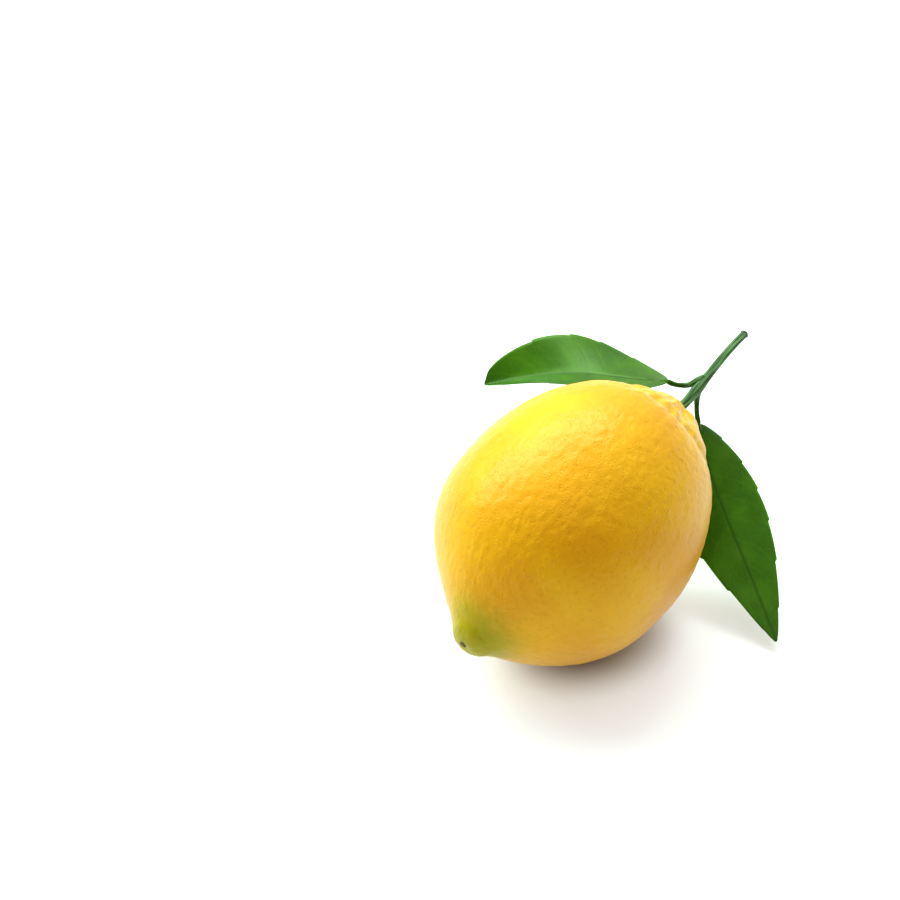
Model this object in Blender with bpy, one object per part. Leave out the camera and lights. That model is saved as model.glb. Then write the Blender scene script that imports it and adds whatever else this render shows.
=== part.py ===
"""A whole lemon lying on its side, with its calyx, a cut green twig and two leaves.

Metres, +Z up. X runs level along the fruit, from the blossom tip to the stem end. The origin
is the middle of the small flat spot that the fruit rests on. Every shape is written from the
middle of the fruit's widest girth and then set at its height over that spot.
"""

import math

import bmesh
import bpy
from mathutils import Euler, Vector

MM = 0.001

# Fruit: a turned body with a blossom nipple, lying with its stem end raised
FRUIT_RADIUS = 30.0 * MM
FRUIT_TILT = math.radians(18.0)
STEM_REACH = 40.6 * MM
STEM_FULLNESS = 2.0
STEM_ROUNDNESS = 1.58
BODY_TIP_REACH = 38.6 * MM
TIP_FULLNESS = 2.75
TIP_ROUNDNESS = 1.06
GIRTH_BLEND = 20.0 * MM
NIPPLE_RADIUS = 6.6 * MM
NIPPLE_START = 34.8 * MM
NIPPLE_LENGTH = 6.4 * MM
TIP_REACH = NIPPLE_START + NIPPLE_LENGTH
NIPPLE_MERGE = 2.2
NIPPLE_FADE = 35.0 * MM
OVAL_HEIGHT = 0.5 * MM
LUMP_HEIGHT = 0.26 * MM
LUMP_TWIST = 12.0 * MM
SMOOTH_END = 12.0 * MM
REST_SPOT_DEPTH = 1.0 * MM
BELLY_FULLNESS = 0.8 * MM
BELLY_PLACE = 9.0 * MM
BELLY_LENGTH = 13.0 * MM
BELLY_SPREAD = 0.8
UNDER = -math.pi / 2

# Neck: the end of the fruit leans off the axis, and a furrow parts a collar from the shoulder
NECK_LEAN = Vector((0.0, -0.8, -0.4)) * MM
NECK_START = 16.0 * MM
COLLAR_PLACE = 39.3 * MM
COLLAR_HEIGHT = 1.4 * MM
COLLAR_WIDTH = 1.8 * MM
FURROW_PLACE = 30.9 * MM
FURROW_DEPTH = 0.7 * MM
FURROW_UNEVENNESS = 0.3 * MM
FURROW_WIDTH = 1.7 * MM
FURROW_DEEPEST = 2.9
# Each fold: its direction round the axis, and its share of the depth
NECK_FOLDS = ((0.9, 0.7), (2.3, 1.0), (3.4, 0.6), (4.6, 0.9), (5.5, 0.7))
FOLD_DEPTH = 0.8 * MM
FOLD_SPREAD = 0.2
FOLD_FADES = (4.0 * MM, 3.0 * MM)
SEAT_DEPTH = 2.4 * MM
SEAT_RADIUS = 4.8 * MM

# Calyx: a five-lobed button between the fruit and the twig
GAP = 0.3 * MM
CALYX_RADIUS = 3.0 * MM
CALYX_THICKNESS = 1.5 * MM
CALYX_LOBES = 5
LOBE_SHARE = 0.13
# Share of the radius and of the thickness, from the under side round the rim to the top
CALYX_PROFILE = ((0.6, 0.0), (1.0, 0.3), (1.0, 0.6), (0.8, 0.85), (0.5, 1.0))

# Twig: a ridged green shoot, which bends from the calyx to its cut end
TWIG_BENDS = ((46.8, -1.0, 12.9), (56.5, -0.2, 18.5))
TWIG_CUT_END = (68.3, 0.0, 20.1)
TWIG_BASE_RADIUS = 1.25 * MM
TWIG_END_RADIUS = 0.95 * MM
TWIG_RIDGES = 4
TWIG_RIDGE_SHARE = 0.1
TWIG_TWIST = 2.0
NODE_PLACE = 0.3
NODE_SPREAD = 0.09
NODE_SWELLING = 0.25 * MM

# Leaves: blades with a raised midrib below, shallow teeth and a gently waved edge
STALK_RADIUS = 0.6 * MM
STALK_FLARE = 0.25 * MM
STALK_SQUARENESS = 0.2
BLADE_THICKNESS = 0.66 * MM
MIDRIB_RISE = 0.3 * MM
MIDRIB_WIDTH = 0.8 * MM
CREASE_ROUNDING = 0.12
TOOTH_LENGTH = 9.0 * MM
TOOTH_DEPTH = 0.45 * MM
TOOTH_SHIFT = 0.35
EDGE_WAVE = 0.4 * MM
WAVE_TURNS = 7.0
WAVE_SIDE_SHIFT = 2.0
WAVE_FADE_WIDTH = 5.0 * MM
TIP_HALF_WIDTH = 0.45 * MM

# Each leaf's stalk and midrib are cubic curves in millimetres. Pairs of values are for the
# base and the tip, or for the side away from "across" and the side towards it.
LEFT_LEAF = {
    "stalk": ((47.3, 1.7, 14.6), (46.9, 2.5, 14.3), (45.0, 3.6, 14.4), (43.4, 5.3, 16.0)),
    "midrib": ((43.4, 5.3, 16.0), (34.9, 23.6, 13.5), (33.5, 22.4, 19.0), (17.9, 42.1, 12.0)),
    "across": (-0.785, -0.620, 0.0),
    "rolls": (0.07, -0.32),
    "base_folds": (-0.28, 0.08),
    "tip_folds": (0.52, 0.67),
    "half_widths": (13.2, 9.8),
    "base_power": 0.50,
    "tip_power": 0.56,
    "wave_start": 0.4,
}
RIGHT_LEAF = {
    "stalk": ((49.3, 0.0, 12.6), (49.2, 0.2, 10.5), (46.6, -1.2, 9.3), (45.7, -3.1, 6.0)),
    "midrib": ((45.7, -3.1, 6.0), (40.8, -10.2, -6.5), (39.4, -20.8, -16.0), (25.3, -42.9, -28.4)),
    "across": (0.904, -0.429, 0.0),
    "rolls": (-0.01, 0.21),
    "base_folds": (-0.70, -0.39),
    "tip_folds": (0.01, 0.17),
    "half_widths": (11.5, 11.3),
    "base_power": 0.58,
    "tip_power": 0.88,
    "wave_start": 2.1,
}

# Mesh density
FRUIT_SIDES = 60
FRUIT_RINGS_PER_END = 25
TWIG_SIDES = 16
TWIG_STATIONS = 22
STALK_STATIONS = 6
BLADE_STATIONS = 34
BLADE_BASE_STATIONS = 5
BLADE_COLUMNS = 8
CALYX_SIDES = 30
CURVE_STEP = 0.001
PROFILE_STEP = 0.05 * MM
SKIN_SAMPLES = 400
SHARP_EDGE = math.radians(50)

# Finishes: colour, roughness
RIND = ("lemon_rind", (0.87, 0.47, 0.012), 0.42)
CALYX_GREEN = ("calyx_green", (0.17, 0.23, 0.05), 0.65)
TWIG_GREEN = ("twig_green", (0.10, 0.21, 0.07), 0.5)
LEAF_GREEN = ("leaf_green", (0.045, 0.13, 0.01), 0.38)


def remove_old_objects():
    """Empty the scene."""
    for old in list(bpy.data.objects):
        bpy.data.objects.remove(old, do_unlink=True)


def finish_material(name, colour, roughness):
    """Return a Principled material of one colour."""
    material = bpy.data.materials.new(name)
    material.use_nodes = True
    shader = material.node_tree.nodes["Principled BSDF"]
    shader.inputs["Base Color"].default_value = (*colour, 1.0)
    shader.inputs["Roughness"].default_value = roughness
    shader.inputs["Metallic"].default_value = 0.0
    return material


def ease(value):
    """Go smoothly from 0 to 1 as the value does."""
    value = min(max(value, 0.0), 1.0)
    return value * value * (3.0 - 2.0 * value)


def between(first, last, share):
    """Go from the first value to the last as the share goes from 0 to 1."""
    return first + (last - first) * share


def hump(value, width):
    """A rounded hump of height 1, about twice the width across."""
    return math.exp(-(value / width) ** 2)


def angle_apart(first, second):
    """The smaller angle between two directions round the fruit."""
    return abs((first - second + math.pi) % math.tau - math.pi)


def curve_point(points, share):
    """A point on a cubic curve given in millimetres."""
    a, b, c, d = (Vector(point) * MM for point in points)
    rest = 1.0 - share
    return a * rest ** 3 + b * (3 * rest ** 2 * share) + c * (3 * rest * share ** 2) + d * share ** 3


def curve_heading(points, share):
    """The unit direction of a cubic curve."""
    ahead = curve_point(points, min(share + CURVE_STEP, 1.0))
    behind = curve_point(points, max(share - CURVE_STEP, 0.0))
    return (ahead - behind).normalized()


def half_profile(along, reach, fullness, roundness):
    """Radius of a body that narrows from the widest girth to a point at its reach."""
    hollow = 1.0 - min(abs(along) / reach, 1.0) ** fullness
    return FRUIT_RADIUS * hollow ** (1.0 / roundness)


def turned_radius(along):
    """Radius of the plain turned fruit at a distance along its axis from the widest girth."""
    stem_half = half_profile(along, STEM_REACH, STEM_FULLNESS, STEM_ROUNDNESS)
    tip_half = half_profile(along, BODY_TIP_REACH, TIP_FULLNESS, TIP_ROUNDNESS)
    body = between(tip_half, stem_half, ease(along / GIRTH_BLEND + 0.5))
    past = max(-along - NIPPLE_START, 0.0) / NIPPLE_LENGTH
    nipple = NIPPLE_RADIUS * math.sqrt(max(1.0 - past * past, 0.0)) * ease(-along / NIPPLE_FADE)
    return (body ** NIPPLE_MERGE + nipple ** NIPPLE_MERGE) ** (1.0 / NIPPLE_MERGE)


def neck_relief(along, around):
    """Height of the collar, the furrow and the folds near the stem end."""
    collar = COLLAR_HEIGHT * hump(along - COLLAR_PLACE, COLLAR_WIDTH)
    depth = FURROW_DEPTH + FURROW_UNEVENNESS * math.cos(around - FURROW_DEEPEST)
    furrow = depth * hump(along - FURROW_PLACE, FURROW_WIDTH)
    folds = sum(share * hump(angle_apart(around, place), FOLD_SPREAD) for place, share in NECK_FOLDS)
    folds *= ease((along - FURROW_PLACE) / FOLD_FADES[0]) * ease((STEM_REACH - along) / FOLD_FADES[1])
    return collar - furrow - FOLD_DEPTH * folds


def body_relief(along, around):
    """Height of the body's slight oval, its soft lumps and its fuller belly."""
    oval = OVAL_HEIGHT * math.cos(2.0 * around)
    lumps = LUMP_HEIGHT * math.cos(3.0 * around + along / LUMP_TWIST)
    under = hump(angle_apart(around, UNDER), BELLY_SPREAD)
    belly = BELLY_FULLNESS * under * hump(along - BELLY_PLACE, BELLY_LENGTH)
    return (lumps - oval) * ease((STEM_REACH - abs(along)) / SMOOTH_END) + belly


def skin_point(share, around):
    """A point of the skin, from the middle of the fruit, with the axis along X.

    The share runs from -1 at the blossom tip to 1 at the stem end.
    """
    reach = STEM_REACH if share >= 0.0 else TIP_REACH
    along = reach * math.sin(share * math.pi / 2)
    radius = turned_radius(along)
    ahead = turned_radius(min(along + PROFILE_STEP, STEM_REACH))
    behind = turned_radius(max(along - PROFILE_STEP, -TIP_REACH))
    outward = Vector((behind - ahead, 2.0 * PROFILE_STEP)).normalized()
    relief = neck_relief(along, around) + body_relief(along, around)
    along += relief * outward.x
    radius = 0.0 if abs(share) == 1.0 else radius + relief * outward.y
    if share > 0.5:
        along -= SEAT_DEPTH * math.exp(-(radius / SEAT_RADIUS) ** 4)
    point = Vector((along, radius * math.cos(around), radius * math.sin(around)))
    lean = ease((along - NECK_START) / (STEM_REACH - NECK_START))
    return point + axis_turn().inverted() @ (NECK_LEAN * lean)


def axis_turn():
    """The turn that raises the stem end of the fruit's axis."""
    return Euler((0.0, -FRUIT_TILT, 0.0)).to_matrix()


def fruit_middle():
    """Place of the widest girth's middle, so that the lowest skin meets the ground."""
    shares = (sample / SKIN_SAMPLES - 0.5 for sample in range(SKIN_SAMPLES + 1))
    skin = [axis_turn() @ skin_point(share, UNDER) for share in shares]
    lowest = min(skin, key=lambda point: point.z)
    return Vector((-lowest.x, 0.0, -lowest.z - REST_SPOT_DEPTH))


def stem_seat():
    """Middle of the hollow that the calyx sits in, and the direction out of it."""
    turn = axis_turn()
    return turn @ skin_point(1.0, 0.0), turn @ Vector((1.0, 0.0, 0.0))


def add_object(name, mesh_builder, finish):
    """Turn a finished bmesh into a named object with its material."""
    bmesh.ops.recalc_face_normals(mesh_builder, faces=mesh_builder.faces)
    mesh = bpy.data.meshes.new(name)
    mesh_builder.to_mesh(mesh)
    mesh_builder.free()
    mesh.shade_smooth()
    mesh.set_sharp_from_angle(angle=SHARP_EDGE)
    mesh.materials.append(finish_material(*finish))
    thing = bpy.data.objects.new(name, mesh)
    bpy.context.collection.objects.link(thing)
    return thing


def bridge_rings(builder, rings):
    """Join closed rings of vertices, one after the other, with quads."""
    for ring, following in zip(rings, rings[1:]):
        count = len(ring)
        for side in range(count):
            turn = (side + 1) % count
            builder.faces.new((ring[side], ring[turn], following[turn], following[side]))


def make_fruit():
    """The fruit: rings round its axis from tip to stem end, with a flat rest spot cut under it."""
    builder = bmesh.new()
    rings = []
    for ring in range(-FRUIT_RINGS_PER_END + 1, FRUIT_RINGS_PER_END):
        share = ring / FRUIT_RINGS_PER_END
        angles = (math.tau * side / FRUIT_SIDES for side in range(FRUIT_SIDES))
        rings.append([builder.verts.new(skin_point(share, angle)) for angle in angles])
    bridge_rings(builder, rings)
    for pole_share, ring in ((-1.0, rings[0]), (1.0, rings[-1])):
        pole = builder.verts.new(skin_point(pole_share, 0.0))
        for side in range(FRUIT_SIDES):
            builder.faces.new((ring[side], ring[(side + 1) % FRUIT_SIDES], pole))
    bmesh.ops.triangulate(builder, faces=builder.faces)
    ground = axis_turn().inverted() @ Vector((0.0, 0.0, -fruit_middle().z))
    down = axis_turn().inverted() @ Vector((0.0, 0.0, -1.0))
    geometry = builder.verts[:] + builder.edges[:] + builder.faces[:]
    cut = bmesh.ops.bisect_plane(builder, geom=geometry, plane_co=ground, plane_no=down, clear_outer=True)
    rim = [part for part in cut["geom_cut"] if isinstance(part, bmesh.types.BMEdge)]
    bmesh.ops.edgeloop_fill(builder, edges=rim)
    fruit = add_object("fruit", builder, RIND)
    fruit.rotation_euler = (0.0, -FRUIT_TILT, 0.0)
    fruit.location = fruit_middle()
    return fruit


def make_calyx():
    """The calyx: a lobed button, flat below, that sits in the hollow of the stem end."""
    seat, outward = stem_seat()
    builder = bmesh.new()
    rings = []
    for spread, height in CALYX_PROFILE:
        ring = []
        for side in range(CALYX_SIDES):
            angle = math.tau * side / CALYX_SIDES
            radius = CALYX_RADIUS * spread * (1.0 + LOBE_SHARE * spread * math.cos(CALYX_LOBES * angle))
            place = (radius * math.cos(angle), radius * math.sin(angle), CALYX_THICKNESS * height)
            ring.append(builder.verts.new(place))
        rings.append(ring)
    bridge_rings(builder, rings)
    builder.faces.new(rings[0])
    builder.faces.new(rings[-1])
    bmesh.ops.triangulate(builder, faces=builder.faces)
    calyx = add_object("calyx", builder, CALYX_GREEN)
    calyx.rotation_euler = (0.0, math.pi / 2 - FRUIT_TILT, 0.0)
    calyx.location = fruit_middle() + seat + outward * GAP
    return calyx


def make_twig():
    """The twig: a ridged shoot along its path, swollen where the leaf stalks join."""
    seat, outward = stem_seat()
    start = seat + outward * (2 * GAP + CALYX_THICKNESS)
    path = (tuple(start / MM), *TWIG_BENDS, TWIG_CUT_END)
    builder = bmesh.new()
    rings = []
    for station in range(TWIG_STATIONS + 1):
        share = station / TWIG_STATIONS
        heading = outward if station == 0 else curve_heading(path, share)
        side_way = heading.cross(Vector((0.0, 0.0, 1.0))).normalized()
        up_way = side_way.cross(heading)
        radius = between(TWIG_BASE_RADIUS, TWIG_END_RADIUS, share)
        radius += NODE_SWELLING * hump(share - NODE_PLACE, NODE_SPREAD)
        ring = []
        for side in range(TWIG_SIDES):
            angle = math.tau * side / TWIG_SIDES
            ridge = TWIG_RIDGE_SHARE * math.cos(TWIG_RIDGES * angle + TWIG_TWIST * share)
            ridged = radius * (1.0 + ridge)
            offset = side_way * (ridged * math.cos(angle)) + up_way * (ridged * math.sin(angle))
            ring.append(builder.verts.new(curve_point(path, share) + offset))
        rings.append(ring)
    bridge_rings(builder, rings)
    builder.faces.new(rings[0])
    builder.faces.new(rings[-1])
    bmesh.ops.triangulate(builder, faces=builder.faces)
    twig = add_object("twig", builder, TWIG_GREEN)
    twig.location = fruit_middle()
    return twig


def blade_outline(leaf, share, side):
    """Half width of the blade on one side, with teeth that point to the tip."""
    widest = leaf["base_power"] / (leaf["base_power"] + leaf["tip_power"])
    swell = (share / widest) ** leaf["base_power"] * ((1.0 - share) / (1.0 - widest)) ** leaf["tip_power"]
    length = (curve_point(leaf["midrib"], 1.0) - curve_point(leaf["midrib"], 0.0)).length
    tooth = (share * length / TOOTH_LENGTH + TOOTH_SHIFT * side) % 1.0
    notch = TOOTH_DEPTH * (1.0 - tooth) * ease(swell * 2.0)
    plain = leaf["half_widths"][side] * MM * swell - notch
    return max(plain, 0.0)


def leaf_frame(leaf, heading, share):
    """Directions across and out of the upper face of a leaf, at a share of its midrib."""
    across = Vector(leaf["across"])
    across = (across - heading * heading.dot(across)).normalized()
    upward = heading.cross(across)
    roll = between(*leaf["rolls"], share)
    turned = across * math.cos(roll) + upward * math.sin(roll)
    return turned, heading.cross(turned)


def leaf_section(leaf, share, half_thickness):
    """One closed ring across the blade: the upper face from edge to edge, then the lower face."""
    middle = curve_point(leaf["midrib"], share)
    across, upward = leaf_frame(leaf, curve_heading(leaf["midrib"], share), share)
    upper = []
    lower = []
    for column in range(BLADE_COLUMNS + 1):
        place = 2.0 * column / BLADE_COLUMNS - 1.0
        side = 0 if place < 0.0 else 1
        half = max(blade_outline(leaf, share, side), TIP_HALF_WIDTH)
        half = math.hypot(half, STALK_RADIUS)
        fold = between(leaf["base_folds"][side], leaf["tip_folds"][side], share)
        bent = math.sqrt(place * place + CREASE_ROUNDING ** 2) - CREASE_ROUNDING
        phase = WAVE_TURNS * share + leaf["wave_start"] + WAVE_SIDE_SHIFT * side
        wave = EDGE_WAVE * place * place * math.sin(phase) * ease(half / WAVE_FADE_WIDTH)
        outward = across * (half * place * math.cos(fold))
        point = middle + outward + upward * (half * bent * math.sin(fold) + wave)
        rib = MIDRIB_RISE * hump(half * place, MIDRIB_WIDTH) * (1.0 - share)
        upper.append(point + upward * half_thickness)
        lower.append(point - upward * (half_thickness + rib))
    return upper + lower[::-1]


def stalk_section(leaf, share):
    """One ring round the stalk, with the same count of points as a ring across the blade."""
    middle = curve_point(leaf["stalk"], share)
    across, upward = leaf_frame(leaf, curve_heading(leaf["stalk"], share), 0.0)
    radius = STALK_RADIUS + STALK_FLARE * (1.0 - share) ** 2
    upper = []
    lower = []
    for column in range(BLADE_COLUMNS + 1):
        place = 2.0 * column / BLADE_COLUMNS - 1.0
        height = radius * math.sqrt(1.0 - (1.0 - STALK_SQUARENESS) * place * place)
        upper.append(middle + across * (radius * place) + upward * height)
        lower.append(middle + across * (radius * place) - upward * height)
    return upper + lower[::-1]


def skin_leaf(builder, rings):
    """Close the rings with triangles that run alike on the upper and the lower face."""
    half = BLADE_COLUMNS + 1
    count = 2 * half
    for ring, following in zip(rings, rings[1:]):
        for side in range(count):
            turn = (side + 1) % count
            if side < half:
                builder.faces.new((ring[side], ring[turn], following[turn]))
                builder.faces.new((ring[side], following[turn], following[side]))
            else:
                builder.faces.new((ring[side], ring[turn], following[side]))
                builder.faces.new((ring[turn], following[turn], following[side]))
    for ring in (rings[0], rings[-1]):
        for column in range(BLADE_COLUMNS):
            below = count - 1 - column
            builder.faces.new((ring[column], ring[column + 1], ring[below - 1]))
            builder.faces.new((ring[column], ring[below - 1], ring[below]))


def make_leaf(name, leaf):
    """A leaf: its stalk, flared to the twig, and its folded blade, in one solid."""
    builder = bmesh.new()
    sections = [stalk_section(leaf, step / STALK_STATIONS) for step in range(STALK_STATIONS)]
    for step in range(BLADE_STATIONS + 1):
        share = (1.0 - math.cos(math.pi * step / BLADE_STATIONS)) / 2
        stalk_share = 1.0 - ease(step / BLADE_BASE_STATIONS)
        half_thickness = BLADE_THICKNESS / 2 + (STALK_RADIUS - BLADE_THICKNESS / 2) * stalk_share
        sections.append(leaf_section(leaf, share, half_thickness))
    rings = [[builder.verts.new(point) for point in section] for section in sections]
    skin_leaf(builder, rings)
    blade = add_object(name, builder, LEAF_GREEN)
    blade.location = fruit_middle()
    return blade


def build_lemon():
    """Make every piece of the lemon."""
    remove_old_objects()
    make_fruit()
    make_calyx()
    make_twig()
    make_leaf("leaf_left", LEFT_LEAF)
    make_leaf("leaf_right", RIGHT_LEAF)


build_lemon()
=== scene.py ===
# %% [markdown]
# This lesson dresses a plain lemon as the real thing. Its frame holds five solids in metres: the fruit,
# the calyx, a cut twig and two leaves. Each step below makes a finer piece that takes one solid's place.
# The frame comes first, because its box is set beside the finer pieces' box at the end.

# %% Load the frame
import math
from functools import partial

import bmesh
import bpy
import numpy as np
from mathutils import Matrix, Vector


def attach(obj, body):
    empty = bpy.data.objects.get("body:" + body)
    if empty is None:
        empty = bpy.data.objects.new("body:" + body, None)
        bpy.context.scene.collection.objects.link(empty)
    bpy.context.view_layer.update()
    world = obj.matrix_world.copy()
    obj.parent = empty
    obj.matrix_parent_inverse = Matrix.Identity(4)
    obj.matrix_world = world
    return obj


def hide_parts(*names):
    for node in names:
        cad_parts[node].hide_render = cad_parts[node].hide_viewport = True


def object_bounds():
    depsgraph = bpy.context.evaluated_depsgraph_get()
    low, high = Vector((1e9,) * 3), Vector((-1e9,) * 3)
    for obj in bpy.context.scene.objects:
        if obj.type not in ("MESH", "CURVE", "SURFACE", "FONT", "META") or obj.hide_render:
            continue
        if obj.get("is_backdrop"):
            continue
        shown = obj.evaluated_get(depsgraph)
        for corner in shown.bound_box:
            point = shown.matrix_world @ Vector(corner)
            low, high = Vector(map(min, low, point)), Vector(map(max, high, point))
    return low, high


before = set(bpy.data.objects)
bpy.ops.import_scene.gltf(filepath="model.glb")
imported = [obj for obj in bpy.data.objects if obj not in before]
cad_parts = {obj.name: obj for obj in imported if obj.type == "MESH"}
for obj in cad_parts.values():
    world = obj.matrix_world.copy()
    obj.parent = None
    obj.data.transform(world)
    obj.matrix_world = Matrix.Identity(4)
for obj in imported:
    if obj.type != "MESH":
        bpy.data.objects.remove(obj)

MM = 0.001
solid_box = [list(corner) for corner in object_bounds()]
print("solids:", ", ".join(sorted(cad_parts)))

# %% [markdown]
# A lemon is a turned body: wide in the middle, pinched to a nipple where the blossom was, and drawn
# out to a neck at the stem. It could be sculpted, but a formula is exact, and it can be sampled as finely
# as the skin needs. These are the same values as the plain fruit's, so the fine skin lies on it.

# %% Sizes of the fruit
FRUIT_RADIUS = 30.0 * MM
FRUIT_TILT = math.radians(18.0)
STEM_REACH = 40.6 * MM
STEM_FULLNESS = 2.0
STEM_ROUNDNESS = 1.58
BODY_TIP_REACH = 38.6 * MM
TIP_FULLNESS = 2.75
TIP_ROUNDNESS = 1.06
GIRTH_BLEND = 20.0 * MM
NIPPLE_RADIUS = 6.6 * MM
NIPPLE_START = 34.8 * MM
NIPPLE_LENGTH = 6.4 * MM
TIP_REACH = NIPPLE_START + NIPPLE_LENGTH
NIPPLE_MERGE = 2.2
NIPPLE_FADE = 35.0 * MM
OVAL_HEIGHT = 0.5 * MM
LUMP_HEIGHT = 0.26 * MM
LUMP_TWIST = 12.0 * MM
SMOOTH_END = 12.0 * MM
REST_SPOT_DEPTH = 1.0 * MM
BELLY_FULLNESS = 0.8 * MM
BELLY_PLACE = 9.0 * MM
BELLY_LENGTH = 13.0 * MM
BELLY_SPREAD = 0.8
UNDER = -math.pi / 2
PROFILE_STEP = 0.05 * MM
OUTWARD = np.array((math.cos(FRUIT_TILT), 0.0, math.sin(FRUIT_TILT)))
ACROSS = np.array((0.0, 1.0, 0.0))
UPWARD = np.cross(OUTWARD, ACROSS)


def ease(value):
    """Go smoothly from 0 to 1 as the value does."""
    value = np.clip(value, 0.0, 1.0)
    return value * value * (3.0 - 2.0 * value)


def between(first, last, share):
    """Go from the first value to the last as the share goes from 0 to 1."""
    return first + (last - first) * share


def hump(value, width):
    """A rounded hump of height 1, about twice the width across."""
    return np.exp(-(value / width) ** 2)


def angle_apart(first, second):
    """The smaller angle between two directions round the fruit."""
    return np.abs((first - second + math.pi) % math.tau - math.pi)


def half_profile(along, reach, fullness, roundness):
    """Radius of a body that narrows from the widest girth to a point at its reach."""
    hollow = 1.0 - np.minimum(np.abs(along) / reach, 1.0) ** fullness
    return FRUIT_RADIUS * hollow ** (1.0 / roundness)


def turned_radius(along):
    """Radius of the plain turned fruit at a distance along its axis from the widest girth."""
    stem_half = half_profile(along, STEM_REACH, STEM_FULLNESS, STEM_ROUNDNESS)
    tip_half = half_profile(along, BODY_TIP_REACH, TIP_FULLNESS, TIP_ROUNDNESS)
    body = between(tip_half, stem_half, ease(along / GIRTH_BLEND + 0.5))
    past = np.maximum(-along - NIPPLE_START, 0.0) / NIPPLE_LENGTH
    nipple = NIPPLE_RADIUS * np.sqrt(np.maximum(1.0 - past * past, 0.0)) * ease(-along / NIPPLE_FADE)
    return (body ** NIPPLE_MERGE + nipple ** NIPPLE_MERGE) ** (1.0 / NIPPLE_MERGE)


def body_relief(along, around):
    """Height of the body's slight oval, its soft lumps and its fuller belly."""
    oval = OVAL_HEIGHT * np.cos(2.0 * around)
    lumps = LUMP_HEIGHT * np.cos(3.0 * around + along / LUMP_TWIST)
    under = hump(angle_apart(around, UNDER), BELLY_SPREAD)
    belly = BELLY_FULLNESS * under * hump(along - BELLY_PLACE, BELLY_LENGTH)
    return (lumps - oval) * ease((STEM_REACH - np.abs(along)) / SMOOTH_END) + belly


print(f"fruit: {2 * FRUIT_RADIUS / MM:.0f} mm across, {(STEM_REACH + TIP_REACH) / MM:.1f} mm along its axis")

# %% [markdown]
# At the stem a lemon has a collar, parted from the shoulder by a furrow and creased by folds that run in
# to the hollow where the calyx sits. The plain fruit has the large ones. The fine skin adds what only
# shows close up: narrow, kinked pleats between the folds, a faint ring where the nipple starts, and the pit
# that the fallen style left at the tip.

# %% Sizes of the neck and the tip
NECK_LEAN = np.array((0.0, -0.8, -0.4)) * MM
NECK_START = 16.0 * MM
COLLAR_PLACE = 39.3 * MM
COLLAR_HEIGHT = 1.4 * MM
COLLAR_WIDTH = 1.8 * MM
FURROW_PLACE = 30.9 * MM
FURROW_DEPTH = 0.7 * MM
FURROW_UNEVENNESS = 0.3 * MM
FURROW_WIDTH = 1.7 * MM
FURROW_DEEPEST = 2.9
NECK_FOLDS = ((0.9, 0.7), (2.3, 1.0), (3.4, 0.6), (4.6, 0.9), (5.5, 0.7))
FOLD_DEPTH = 0.8 * MM
FOLD_SPREAD = 0.2
FOLD_FADES = (4.0 * MM, 3.0 * MM)
SEAT_DEPTH = 2.4 * MM
SEAT_RADIUS = 4.8 * MM
PLEATS = 23
PLEAT_HEIGHT = 0.18 * MM
PLEAT_PLACE = 33.0 * MM
PLEAT_LENGTH = 6.0 * MM
PLEAT_SWAYS = ((1.6, 3.0, 0.0), (1.0, 5.0, 1.0))
PLEAT_KINK = 1.1 * MM
KINK_SLANTS = ((4.0, 2.0, 0.0),)
KINK_SHARES = ((1.0, 7.0, 0.5),)
TIP_RING_PLACE = 36.0 * MM
TIP_RING_SWAY = 0.5 * MM
TIP_RING_DEPTH = 0.06 * MM
TIP_RING_WIDTH = 0.8 * MM
PIT_DEPTH = 0.5 * MM
PIT_RADIUS = 1.3 * MM


def neck_relief(along, around):
    """Height of the collar, the furrow and the folds near the stem end."""
    collar = COLLAR_HEIGHT * hump(along - COLLAR_PLACE, COLLAR_WIDTH)
    depth = FURROW_DEPTH + FURROW_UNEVENNESS * np.cos(around - FURROW_DEEPEST)
    furrow = depth * hump(along - FURROW_PLACE, FURROW_WIDTH)
    folds = sum(share * hump(angle_apart(around, place), FOLD_SPREAD) for place, share in NECK_FOLDS)
    folds = folds * ease((along - FURROW_PLACE) / FOLD_FADES[0]) * ease((STEM_REACH - along) / FOLD_FADES[1])
    return collar - furrow - FOLD_DEPTH * folds


def waves(around, parts):
    """Waves round the fruit, each given by its height, its count and where it starts."""
    return sum(height * np.sin(count * around + start) for height, count, start in parts)


def fine_relief(along, around):
    """Height of what only shows close up: the neck's pleats and the ring round the nipple."""
    kinks = np.sin(along / PLEAT_KINK + waves(around, KINK_SLANTS)) * waves(around, KINK_SHARES)
    pleats = PLEAT_HEIGHT * np.cos(PLEATS * around + waves(around, PLEAT_SWAYS) + kinks)
    pleats = pleats * hump(along - PLEAT_PLACE, PLEAT_LENGTH)
    ring_place = TIP_RING_PLACE + TIP_RING_SWAY * np.cos(2.0 * around + 0.7)
    ring = TIP_RING_DEPTH * hump(along + ring_place, TIP_RING_WIDTH)
    return pleats * ease((STEM_REACH - along) / FOLD_FADES[1]) - ring


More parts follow.
